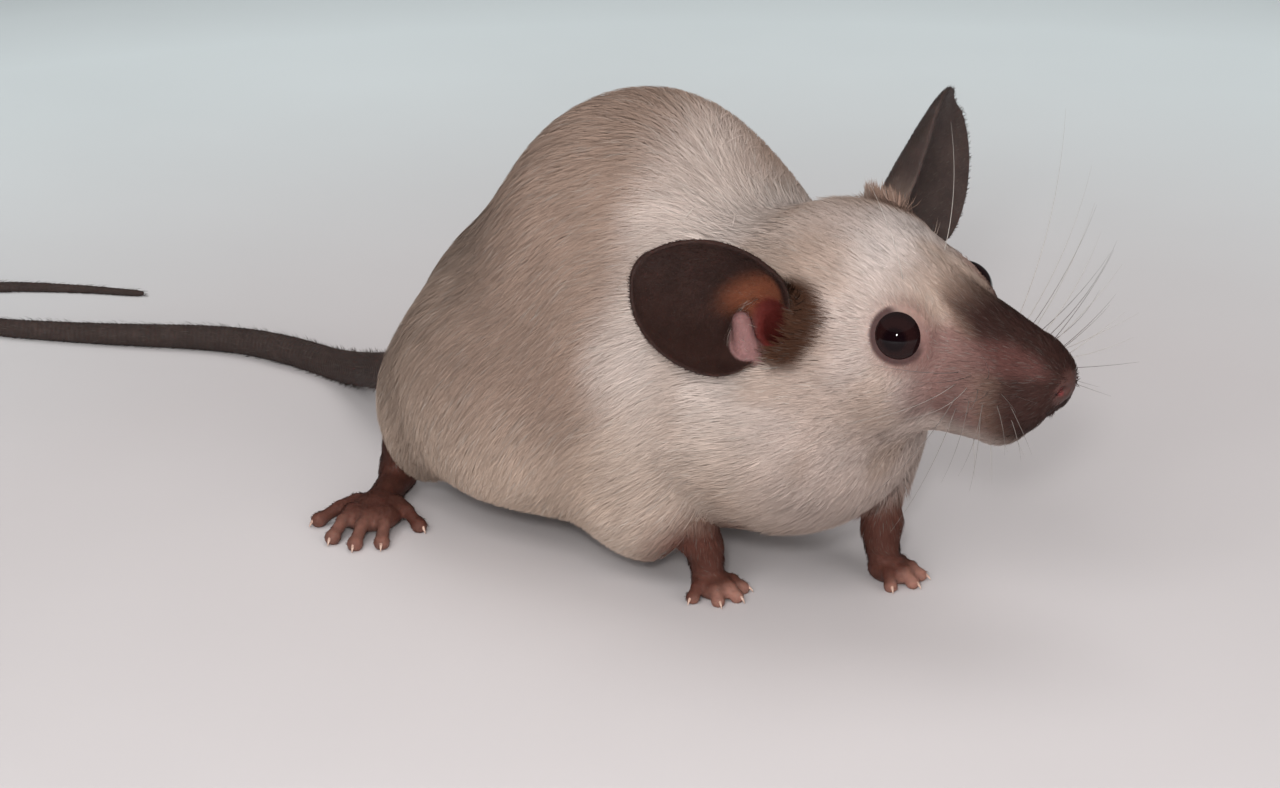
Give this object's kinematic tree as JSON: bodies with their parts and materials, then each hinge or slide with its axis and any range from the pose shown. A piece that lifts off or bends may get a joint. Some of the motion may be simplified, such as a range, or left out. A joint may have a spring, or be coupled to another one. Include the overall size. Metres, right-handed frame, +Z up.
{
  "type": "fancy mouse",
  "caption": "Life-size fancy mouse with dark points, standing still with its head turned left and its tail curled on the floor.",
  "frame": {"origin": "on the floor, under the middle of the whole animal's box", "axes": "+X from the rump to the nose, +Y to the animal's left, +Z up"},
  "size_m": [0.1208, 0.0414, 0.0353],
  "materials": {
    "coat_saddle": "short soft fur, beige-grey with darker tips",
    "coat_collar": "short soft fur, pale cream-grey",
    "coat_face": "very short fur, pale, shading to a seal-brown muzzle",
    "limb_fur": "sparse very short dark-brown fur",
    "foot_skin": "thin skin, dark brown to pink toes",
    "ear_skin": "thin velvety dark-brown skin",
    "tail_skin": "ringed scaly skin with fine bristles",
    "eye": "wet, almost black with a ruby cast",
    "claw": "small translucent horn",
    "whisker": "fine tapering bristles"
  },
  "bodies": {
    "root": {"trunk": "coat_saddle", "thigh_left": "coat_saddle", "thigh_right": "coat_saddle", "neck": "coat_collar", "head": "coat_face", "eye_left": "eye", "eye_right": "eye", "ear_left": "ear_skin", "ear_right": "ear_skin", "foreleg_left": "limb_fur", "foreleg_right": "limb_fur", "forefoot_left": "foot_skin", "forefoot_right": "foot_skin", "hindfoot_left": "foot_skin", "hindfoot_right": "foot_skin", "whiskers_left": "whisker", "whiskers_right": "whisker", "tail_1": "tail_skin", "tail_2": "tail_skin", "tail_3": "tail_skin", "tail_4": "tail_skin", "tail_5": "tail_skin"}
  },
  "joints": []
}
